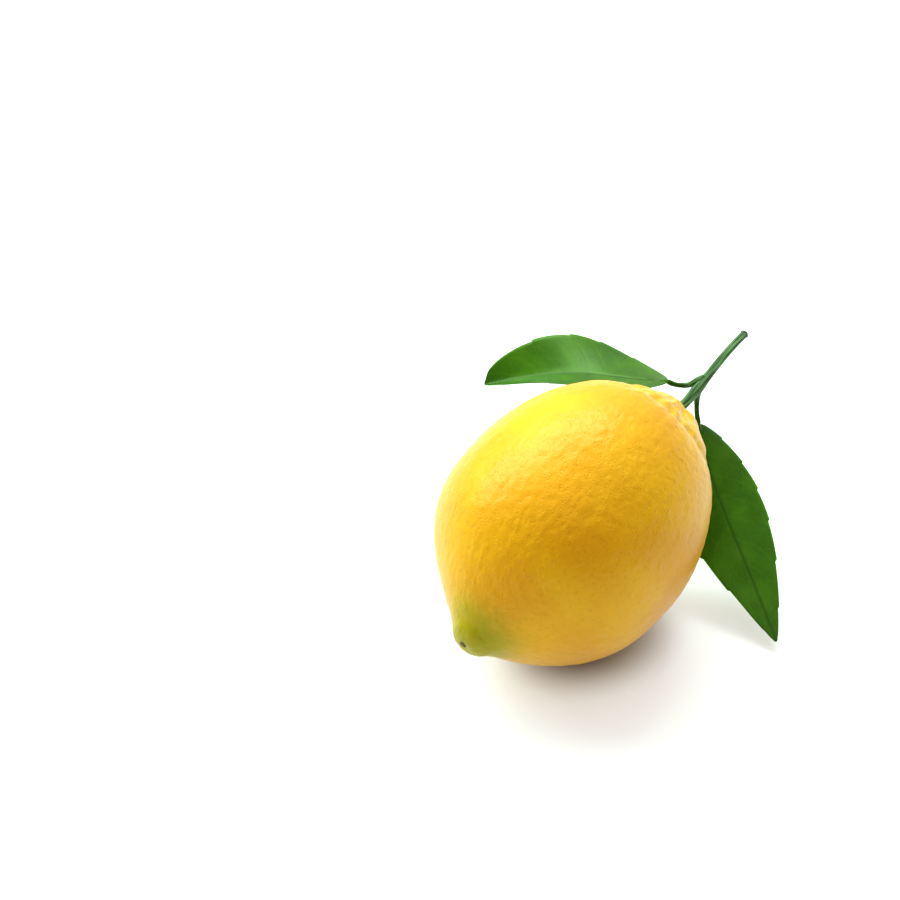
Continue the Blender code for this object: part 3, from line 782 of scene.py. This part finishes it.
outward = add("GeometryNodeInputNormal")
push = add("VectorMath", {0: outward, "Scale": relief}, operation="SCALE")
ridged = add("GeometryNodeSetPosition", {"Geometry": tube, "Offset": push})
soft = add("GeometryNodeSetShadeSmooth", {"Geometry": ridged})
end_tree(shoot_tree, soft, given["Material"])


def new_curve(name):
    """An empty curve in three dimensions, and an object in the scene that holds it."""
    curve = bpy.data.curves.new(name, "CURVE")
    curve.dimensions = "3D"
    return curve, into_scene(name, curve)


def cubic_path(name, points):
    """A curve object of one cubic, from its two ends and the two bends between them, in metres."""
    curve, path = new_curve(name)
    spline = curve.splines.new("BEZIER")
    spline.bezier_points.add(1)
    spline.resolution_u = 64
    start, bend, other_bend, end = (Vector(point) for point in points)
    first, last = spline.bezier_points
    for knot in (first, last):
        knot.handle_left_type = "FREE"
        knot.handle_right_type = "FREE"
    first.co, first.handle_left, first.handle_right = start, start * 2 - bend, bend
    last.co, last.handle_left, last.handle_right = end, other_bend, end * 2 - other_bend
    return path


def from_middle(point):
    """A place in metres, from one in millimetres that is counted from the fruit's middle."""
    return MIDDLE + np.array(point) * MM


twig_start = SEAT + OUTWARD * (CALYX_THICKNESS + GAP)
twig_corners = (twig_start, *(from_middle(bend) for bend in TWIG_BENDS), from_middle(TWIG_CUT_END))
shoot_sizes = {
    "Base Radius": TWIG_BASE_RADIUS, "End Radius": TWIG_END_RADIUS, "Foot Flare": FOOT_FLARE,
    "Foot Share": 0.08, "Node Place": 0.3, "Node Spread": 0.09, "Node Swelling": 0.25 * MM, "Ridges": 4.0,
    "Ridge Height": 0.1 * MM, "Flute Height": 0.025 * MM, "Twist": 2.0, "Stations": 180, "Sides": 96,
    "Material": shoot_skin}
twig_shoot = run_tree("twig_shoot", cubic_path("twig_path", twig_corners), shoot_tree, shoot_sizes)
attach(twig_shoot, "root")
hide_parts("twig")

# %% [markdown]
# A citrus leaf is leathery and lies folded along its midrib. The plain leaves have the fold, the waved
# edge and the shallow teeth. The fine ones are half as thick, with a rounded tip, a groove over the
# midrib and a rib under it, and side veins that sink into the upper face. Each point is worked out from
# its share along the midrib and its place across the blade, so all of this is one formula.

# %% Sizes of the leaves
STALK_RADIUS = 0.6 * MM
STALK_FLARE = 0.05 * MM
TOOTH_LENGTH = 9.0 * MM
TOOTH_DEPTH = 0.45 * MM
TOOTH_SHIFT = 0.35
EDGE_WAVE = 0.4 * MM
WAVE_TURNS = 7.0
WAVE_SIDE_SHIFT = 2.0
WAVE_FADE_WIDTH = 5.0 * MM
CREASE_ROUNDING = 0.12
TIP_HALF_WIDTH = 0.45 * MM
TIP_ROUNDING = 1.1 * MM
BLADE_HALF_THICKNESS = 0.18 * MM
RIB_TIP_RADIUS = 0.12 * MM
BLADE_BASE_LENGTH = 5.0 * MM
GROOVE_DEPTH = 0.16 * MM
GROOVE_WIDTH = 0.5 * MM
VEIN_COUNT = 9
VEIN_SWEEP = 0.1
VEIN_CURL = 0.07
VEIN_WIDTH = 0.42 * MM
VEIN_DEPTH = 0.012 * MM
QUILT_HEIGHT = 0.02 * MM
CURVE_STEP = 0.001

LEFT_LEAF = {
    "stalk": ((47.3, 1.7, 14.6), (46.9, 2.5, 14.3), (45.0, 3.6, 14.4), (43.4, 5.3, 16.0)),
    "midrib": ((43.4, 5.3, 16.0), (34.9, 23.6, 13.5), (33.5, 22.4, 19.0), (17.9, 42.1, 12.0)),
    "across": (-0.785, -0.620, 0.0),
    "rolls": (0.07, -0.32),
    "base_folds": (-0.28, 0.08),
    "tip_folds": (0.52, 0.67),
    "half_widths": (13.2, 9.8),
    "base_power": 0.50,
    "tip_power": 0.56,
    "wave_start": 0.4,
}
RIGHT_LEAF = {
    "stalk": ((49.3, 0.0, 12.6), (49.2, 0.2, 10.5), (46.6, -1.2, 9.3), (45.7, -3.1, 6.0)),
    "midrib": ((45.7, -3.1, 6.0), (40.8, -10.2, -6.5), (39.4, -20.8, -16.0), (25.3, -42.9, -28.4)),
    "across": (0.904, -0.429, 0.0),
    "rolls": (-0.01, 0.21),
    "base_folds": (-0.70, -0.39),
    "tip_folds": (0.01, 0.17),
    "half_widths": (11.5, 11.3),
    "base_power": 0.58,
    "tip_power": 0.88,
    "wave_start": 2.1,
}


def cubic(points, shares):
    """Points of a cubic curve that is given in millimetres from the fruit's middle."""
    start, bend, other_bend, end = (from_middle(point) for point in points)
    share = np.asarray(shares)[..., None]
    rest = 1.0 - share
    near = start * rest ** 3 + bend * (3 * rest ** 2 * share)
    return near + other_bend * (3 * rest * share ** 2) + end * share ** 3


def leaf_frame(leaf, points, shares, turn_shares):
    """Middles, directions across and directions out of the upper face, for each share of a curve."""
    middles = cubic(points, shares)
    ahead = cubic(points, np.minimum(shares + CURVE_STEP, 1.0))
    headings = ahead - cubic(points, np.maximum(shares - CURVE_STEP, 0.0))
    headings /= np.linalg.norm(headings, axis=1)[:, None]
    across = np.array(leaf["across"]) - headings * (headings @ np.array(leaf["across"]))[:, None]
    across /= np.linalg.norm(across, axis=1)[:, None]
    upward = np.cross(headings, across)
    roll = between(*leaf["rolls"], turn_shares)[:, None]
    turned = across * np.cos(roll) + upward * np.sin(roll)
    return middles, turned, np.cross(headings, turned)


def blade_length(leaf):
    """Straight length of a blade from its base to its tip."""
    return np.linalg.norm(np.subtract(leaf["midrib"][3], leaf["midrib"][0])) * MM


def half_width(leaf, share, side):
    """Half width of the blade on one side, with its teeth and its rounded tip."""
    widest = leaf["base_power"] / (leaf["base_power"] + leaf["tip_power"])
    swell = (share / widest) ** leaf["base_power"] * ((1.0 - share) / (1.0 - widest)) ** leaf["tip_power"]
    tooth = (share * blade_length(leaf) / TOOTH_LENGTH + TOOTH_SHIFT * side) % 1.0
    notch = TOOTH_DEPTH * (1.0 - tooth) * ease(swell * 2.0)
    plain = np.array(leaf["half_widths"])[side] * MM * swell - notch
    half = np.hypot(np.maximum(plain, TIP_HALF_WIDTH), STALK_RADIUS)
    from_tip = np.minimum((1.0 - share) * blade_length(leaf) / TIP_ROUNDING, 1.0)
    return half * np.sqrt(np.maximum(1.0 - (1.0 - from_tip) ** 2, 0.0))


def side_veins(leaf, share, place):
    """How much of a side vein, from 0 to 1, lies at a share along and a place across a blade."""
    reach = np.abs(place)
    sweep = VEIN_SWEEP * reach + VEIN_CURL * reach ** 3
    phase = (share - sweep) * VEIN_COUNT + 0.5 * (place > 0.0)
    off = np.abs((phase + 0.5) % 1.0 - 0.5) * blade_length(leaf) / VEIN_COUNT
    return hump(off, VEIN_WIDTH * (1.0 - 0.4 * reach)) * ease((1.0 - reach) / 0.25)


print("blades:", [round(float(blade_length(leaf)) / MM, 1) for leaf in (LEFT_LEAF, RIGHT_LEAF)], "mm long")

# %% [markdown]
# The leaf is skinned with rings: each goes over the upper face from edge to edge and back under the lower
# one. Round the stalk the ring is a circle, and over the first few millimetres of the blade it opens out
# flat. Points crowd towards the edges, because that is where the shape turns most sharply.

# %% Skin of a leaf
BLADE_STATIONS = 170
BLADE_COLUMNS = 120
STALK_STATIONS = 26
JOINT_SWELLING = 0.12
JOINT_LENGTH = 0.6 * MM


def blade_faces(leaf, share, place):
    """Points of the upper and of the lower face, for columns of shares and rows of places."""
    middles, across, upward = leaf_frame(leaf, leaf["midrib"], share[:, 0], share[:, 0])
    side = (place >= 0.0).astype(int)
    half = half_width(leaf, share, side)
    fold = between(np.array(leaf["base_folds"])[side], np.array(leaf["tip_folds"])[side], share)
    bent = np.sqrt(place * place + CREASE_ROUNDING ** 2) - CREASE_ROUNDING
    phase = WAVE_TURNS * share + leaf["wave_start"] + WAVE_SIDE_SHIFT * side
    wave = EDGE_WAVE * place * place * np.sin(phase) * ease(half / WAVE_FADE_WIDTH)
    veins = side_veins(leaf, share, place)
    opened = ease(share * blade_length(leaf) / BLADE_BASE_LENGTH)
    off_edges = ease(np.abs(place) * 3.0) * ease((1.0 - np.abs(place)) * 3.0)
    quilt = QUILT_HEIGHT * off_edges * (1.0 - veins) * opened
    sideways = half * place * np.cos(fold)
    height = half * bent * np.sin(fold) + wave + quilt * ease(half / WAVE_FADE_WIDTH)
    centre = middles[:, None] + across[:, None] * sideways[..., None] + upward[:, None] * height[..., None]
    blade = BLADE_HALF_THICKNESS * np.sqrt(1.0 - place ** 8) * ease(half / TIP_HALF_WIDTH)
    rib_radius = between(STALK_RADIUS, RIB_TIP_RADIUS, share ** 0.6)
    rib = np.sqrt(np.maximum(rib_radius ** 2 - (half * place) ** 2, 0.0))
    groove = GROOVE_DEPTH * hump(half * place, GROOVE_WIDTH) * opened * (1.0 - share)
    over = (blade ** 4 + (rib * (1.0 - opened)) ** 4) ** 0.25 - groove - VEIN_DEPTH * veins * opened
    under = (blade ** 4 + rib ** 4) ** 0.25 + VEIN_DEPTH * veins * opened
    edge = ease((1.0 - np.abs(place)) * 12.0)
    over = np.where(np.abs(place) > 0.9, over * edge, over)
    under = np.where(np.abs(place) > 0.9, under * edge, under)
    return centre + upward[:, None] * over[..., None], centre - upward[:, None] * under[..., None], veins


def make_leaf(name, leaf, material):
    """A leaf with its stalk as one closed skin, with what its finish reads kept on its points."""
    turn = np.linspace(-math.pi / 2, math.pi / 2, BLADE_COLUMNS + 1)
    place = np.sin(turn)
    place[0], place[-1] = -1.0, 1.0
    steps = np.arange(BLADE_STATIONS + 1) / BLADE_STATIONS
    share = np.clip((1.0 - np.cos(math.pi * steps)) / 2, 0.0, 0.9999)
    grid_share, grid_place = np.broadcast_arrays(share[:, None], place[None, :])
    over, under, veins = blade_faces(leaf, grid_share, grid_place)
    inner = slice(BLADE_COLUMNS - 1, 0, -1)
    blade_rings = np.concatenate((over, under[:, inner]), axis=1)
    stalk_share = np.arange(STALK_STATIONS) / STALK_STATIONS
    middles, across, upward = leaf_frame(leaf, leaf["stalk"], stalk_share, np.zeros(STALK_STATIONS))
    stalk_length = np.linalg.norm(np.subtract(leaf["stalk"][3], leaf["stalk"][0])) * MM
    joint = 1.0 + JOINT_SWELLING * hump((1.0 - stalk_share) * stalk_length - JOINT_LENGTH, JOINT_LENGTH)
    radius = ((STALK_RADIUS + STALK_FLARE * (1.0 - stalk_share) ** 2) * joint)[:, None, None]
    ring_turn = np.concatenate((turn, math.pi - turn[inner]))
    sideways, upwards = np.sin(ring_turn)[None, :, None], np.cos(ring_turn)[None, :, None]
    circle = across[:, None] * sideways + upward[:, None] * upwards
    stalk_rings = middles[:, None] + circle * radius
    rings = np.concatenate((stalk_rings, blade_rings))
    count = rings.shape[1]
    stalk_zeros = np.zeros((STALK_STATIONS, count))
    full_place = np.concatenate((place, place[inner]))
    sides = (full_place >= 0.0).astype(int)
    across_mm = half_width(leaf, share[:, None], sides[None, :]) * full_place / MM
    along_mm = np.broadcast_to(share[:, None] * blade_length(leaf) / MM, across_mm.shape)
    blade_plane = np.stack((across_mm, along_mm, np.zeros_like(across_mm)), axis=-1)
    stalk_plane = np.zeros((STALK_STATIONS, count, 3))
    stalk_plane[..., 1] = -(1.0 - stalk_share)[:, None] * stalk_length / MM
    below = np.concatenate((np.zeros(BLADE_COLUMNS + 1), np.ones(BLADE_COLUMNS - 1)))
    vein_rings = np.concatenate((veins, veins[:, inner]), axis=1)
    marks = {
        "vein": np.concatenate((stalk_zeros, vein_rings)).ravel(),
        "underside": np.concatenate((stalk_zeros, np.broadcast_to(below, vein_rings.shape))).ravel(),
        "blade_mm": np.concatenate((stalk_plane, blade_plane)).reshape(-1, 3),
    }
    thing = new_thing(name, rings.reshape(-1, 3), bridge(len(rings), count), marks)
    close_ends(thing, count)
    thing.data.materials.append(material)
    tell(thing)
    return thing


print("a leaf's skin:", STALK_STATIONS + BLADE_STATIONS + 1, "rings of", 2 * BLADE_COLUMNS, "points")

# %% [markdown]
# A citrus leaf is dark and glossy above, from a thick waxy cuticle with an IOR near 1.45, and paler and
# duller below. It is thin enough for some light to pass, which subsurface gives. Side veins are a little
# lighter, the groove over the midrib is painted dark as painted shade, the rib under it is pale, and a net
# of fine veins about a millimetre wide mottles the green between them. The pattern lies in the blade's own
# plane, in millimetres, so it bends with the fold.

# %% Finish of the leaves
NET_SPACING_MM = 1.3

leaf_skin, add, shader = start_finish("waxy_citrus_leaf", {
    "IOR": 1.45, "Specular IOR Level": 0.3, "Specular Tint": (0.6, 1.0, 0.25, 1.0),
    "Subsurface Weight": 0.12, "Subsurface Radius": (0.3, 1.0, 0.1), "Subsurface Scale": 0.6 * MM})
plane = add("Attribute", attribute_name="blade_mm").outputs["Vector"]
vein = add("Attribute", attribute_name="vein").outputs["Fac"]
below = add("Attribute", attribute_name="underside").outputs["Fac"]
tone = add("TexNoise", {"Vector": plane, "Scale": 1 / 10.0, "Detail": 2.0})
tone_share = add("MapRange", (tone, 0.35, 0.65), **SMOOTH)
net = add("TexVoronoi", {"Vector": plane, "Scale": 1 / NET_SPACING_MM}, feature="DISTANCE_TO_EDGE")
net_share = add("MapRange", (net, 0.0, 0.12, 0.12, 0.0), **SMOOTH)
vein_share = add("Math", (vein, 0.1), operation="MULTIPLY")
off_midrib = add("SeparateXYZ", {"Vector": plane})
off_midrib_size = add("Math", (off_midrib.outputs["X"],), operation="ABSOLUTE")
# Over the midrib this share darkens the groove as painted shade; under the leaf it gives the rib its own
# paler colour.
midrib_shade_and_pale_rib_share = add("MapRange", (off_midrib_size, 0.15, 0.6, 0.6, 0.0), **SMOOTH)
upper_colour = srgb("224C01")
for cover, tint in (
    (tone_share, "305C01"), (net_share, "487717"), (vein_share, "507C1A"), (midrib_shade_and_pale_rib_share, "153303"),
):
    upper_colour = add("Mix", {MIX_SHARE: cover, MIX_A: upper_colour, MIX_B: srgb(tint)}, **COLOURS)
lower_colour = srgb("6E9148")
for cover, tint in ((vein_share, "A4B86C"), (midrib_shade_and_pale_rib_share, "BCCB86")):
    lower_colour = add("Mix", {MIX_SHARE: cover, MIX_A: lower_colour, MIX_B: srgb(tint)}, **COLOURS)
leaf_colour = add("Mix", {MIX_SHARE: below, MIX_A: upper_colour, MIX_B: lower_colour}, **COLOURS)
dullness = add("MapRange", (below, 0.0, 1.0, 0.34, 0.62))
leaf_bump = add("Bump", {"Strength": 0.4, "Distance": 0.05 * MM, "Height": net})
feed(shader, {"Base Color": leaf_colour, "Roughness": dullness, "Normal": leaf_bump})
print("leaf: net of fine veins", NET_SPACING_MM, "mm apart")

# %% [markdown]
# Both leaves come from the same function, so they differ only by their measured curves, folds and widths.

# %% Both leaves
for piece_name, node_name, leaf in (
    ("left_leaf", "leaf_left", LEFT_LEAF),
    ("right_leaf", "leaf_right", RIGHT_LEAF),
):
    piece = make_leaf(piece_name, leaf, leaf_skin)
    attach(piece, "root")
    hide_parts(node_name)

# %% [markdown]
# Under a leaf the side veins stand out as fine ribs. Their paths are read from the blade's own formula,
# just inside its lower face, and one small tree sweeps all of them at once, each thinner towards its end.
# The last vein would run on past the tip, so it keeps only the points that lie on the blade.

# %% Vein ribs by Geometry Nodes
VEIN_RIB_RADIUS = 0.2 * MM
VEIN_RIB_END = 0.05 * MM
VEIN_REACH = 0.86
VEIN_POINTS = 16

rib_tree, given, add = start_tree("vein_ribs", {
    "Float": ("Base Radius", "End Radius"), "Int": ("Sides",), "Material": ("Material",)})
share = add("GeometryNodeSplineParameter")
rib_taper = add("MapRange", (share, 0.0, 1.0, given["Base Radius"], given["End Radius"]))
rib_circle = add("GeometryNodeCurvePrimitiveCircle", {"Resolution": given["Sides"], "Radius": 1.0})
rib_tube = add("GeometryNodeCurveToMesh", {
    "Curve": given["Geometry"], "Profile Curve": rib_circle, "Scale": rib_taper, "Fill Caps": True})
rib_soft = add("GeometryNodeSetShadeSmooth", {"Geometry": rib_tube})
end_tree(rib_tree, rib_soft, given["Material"])

rib_skin, add, shader = start_finish("pale_leaf_rib", {"Roughness": 0.55, "IOR": 1.45})
place = add("TexCoord").outputs["Object"]
rib_tone = add("TexNoise", {"Vector": place, "Scale": 1 / (2.0 * MM), "Detail": 2.0})
rib_colour = add("Mix", {MIX_SHARE: rib_tone, MIX_A: srgb("7E9E52"), MIX_B: srgb("B0C07A")}, **COLOURS)
feed(shader, {"Base Color": rib_colour})


def vein_paths(name, leaf):
    """A curve object with one spline for each side vein, on the lower face of a blade."""
    curve, path = new_curve(name)
    for number in range(1, VEIN_COUNT):
        for side in (-1.0, 1.0):
            start = (number - 0.5 * (side > 0.0)) / VEIN_COUNT
            reach = np.linspace(0.02, VEIN_REACH, VEIN_POINTS)
            share = start + VEIN_SWEEP * reach + VEIN_CURL * reach ** 3
            on_blade = share < 1.0
            _, under, _ = blade_faces(leaf, share[on_blade, None], (reach * side)[on_blade, None])
            spline = curve.splines.new("POLY")
            spline.points.add(len(under) - 1)
            for knot, point in zip(spline.points, under[:, 0]):
                knot.co = (*point, 1.0)
    return path


for piece_name, leaf in (("left_leaf_ribs", LEFT_LEAF), ("right_leaf_ribs", RIGHT_LEAF)):
    ribs = run_tree(piece_name, vein_paths(piece_name + "_paths", leaf), rib_tree, {
        "Base Radius": VEIN_RIB_RADIUS, "End Radius": VEIN_RIB_END, "Sides": 8, "Material": rib_skin})
    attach(ribs, "root")

# %% [markdown]
# Each stalk grows out of the shoot from a long low cushion that runs down along it. The plain stalks stop
# just clear of the twig, so a swept cushion bridges each gap. Its path is one cubic that starts on the
# shoot's own line, passes through the stalk's free end and meets the stalk a little further on in the
# stalk's own direction. Three of its four points are known, and the fourth is solved from that free end.

# %% Cushions at the stalks
CUSHIONS = (
    ("left_cushion", LEFT_LEAF, 0.5, 0.4),
    ("right_cushion", RIGHT_LEAF, 0.53, 0.5),
)
CUSHION_SIZES = {
    "Base Radius": 0.75 * MM, "End Radius": 0.67 * MM, "Foot Flare": 0.0, "Node Place": 0.45,
    "Node Spread": 0.25, "Node Swelling": 0.2 * MM, "Ridge Height": 0.03 * MM, "Flute Height": 0.01 * MM,
    "Stations": 40, "Sides": 48}

twig_line = (tuple((twig_start - MIDDLE) / MM), *TWIG_BENDS, TWIG_CUT_END)
for piece_name, leaf, root_share, stalk_reach in CUSHIONS:
    free_end, bend, other_bend, _ = (from_middle(point) for point in leaf["stalk"])
    root = cubic(twig_line, np.array((root_share,)))[0]
    inside = cubic(leaf["stalk"], np.array((stalk_reach,)))[0]
    to_bend = between(free_end, bend, stalk_reach)
    approach = between(to_bend, between(bend, other_bend, stalk_reach), stalk_reach)
    first_part = np.linalg.norm(root - free_end)
    passed = first_part / (first_part + np.linalg.norm(free_end - inside))
    ahead = 1.0 - passed
    last_bend = inside + (approach - inside) / ahead
    known = root * ahead ** 3 + last_bend * (3 * ahead * passed ** 2) + inside * passed ** 3
    first_bend = (free_end - known) / (3 * ahead ** 2 * passed)
    path = cubic_path(piece_name + "_path", (root, first_bend, last_bend, inside))
    cushion = run_tree(piece_name, path, shoot_tree, shoot_sizes | CUSHION_SIZES)
    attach(cushion, "root")

# %% [markdown]
# The shoot was cut with shears. Its end shows a paler pith, a ring of wood and a thin green rind, all
# dried dark. A low disc of rings closes the end, with the shoot's own four ridges round it, and its finish
# reads the distance from its centre, kept on its points.

# %% Cut end
CUT_SIDES = 72
CUT_PROFILE = (
    (1.04, -0.25), (1.04, 0.0), (0.99, 0.07), (0.9, 0.08),
    (0.78, 0.05), (0.55, 0.07), (0.3, 0.05), (0.08, 0.04),
)

cut_wood, add, shader = start_finish("cut_green_wood", {"Roughness": 0.7, "IOR": 1.5})
from_centre = add("Attribute", attribute_name="from_centre").outputs["Fac"]
place = add("TexCoord").outputs["Object"]
fibres = add("TexNoise", {"Vector": place, "Scale": 1 / (0.2 * MM), "Detail": 2.0})
ring_place = add("Math", (fibres, 0.2, from_centre), operation="MULTIPLY_ADD")
layers = add("ValToRGB", {"Fac": ring_place})
stops = layers.color_ramp.elements
for stop, (place_in_ramp, colour) in zip(stops, ((0.3, "5C5848"), (1.05, "1E2C18"))):
    stop.position, stop.color = place_in_ramp, srgb(colour)
for place_in_ramp, colour in ((0.42, "3C3A30"), (0.8, "4A4A3A"), (0.93, "2A3020")):
    stops.new(place_in_ramp).color = srgb(colour)
fibre_bump = add("Bump", {"Distance": 0.06 * MM, "Height": fibres})
feed(shader, {"Base Color": layers, "Normal": fibre_bump})

end_place = from_middle(TWIG_CUT_END)
end_heading = end_place - from_middle(TWIG_BENDS[1])
end_heading /= np.linalg.norm(end_heading)
end_side = np.cross(end_heading, (0.0, 0.0, 1.0))
end_side /= np.linalg.norm(end_side)
end_up = np.cross(end_side, end_heading)
angles = np.arange(CUT_SIDES) * math.tau / CUT_SIDES
ridges = shoot_sizes["Ridge Height"] * np.cos(shoot_sizes["Ridges"] * angles + shoot_sizes["Twist"])
cut_rings = []
for spread, height in CUT_PROFILE:
    radius = spread * (TWIG_END_RADIUS + ridges)
    flat = end_side * (radius * np.cos(angles))[:, None] + end_up * (radius * np.sin(angles))[:, None]
    cut_rings.append(end_place + flat + end_heading * height * MM)
cut_end = new_thing("cut_end", np.concatenate(cut_rings), bridge(len(CUT_PROFILE), CUT_SIDES),
                    {"from_centre": np.repeat([spread for spread, _ in CUT_PROFILE], CUT_SIDES)})
close_ends(cut_end, CUT_SIDES)
cut_end.data.materials.append(cut_wood)
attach(cut_end, "root")
tell(cut_end)

# %% [markdown]
# Last, the visual model's box is set beside the solids' box. They should agree, because the dressing
# never resizes the object.

# %% Sizes
shown_box = [list(corner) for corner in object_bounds()]
for label, box in (("solids", solid_box), ("shown", shown_box)):
    print(label, np.round(np.array(box) / MM, 1).tolist())
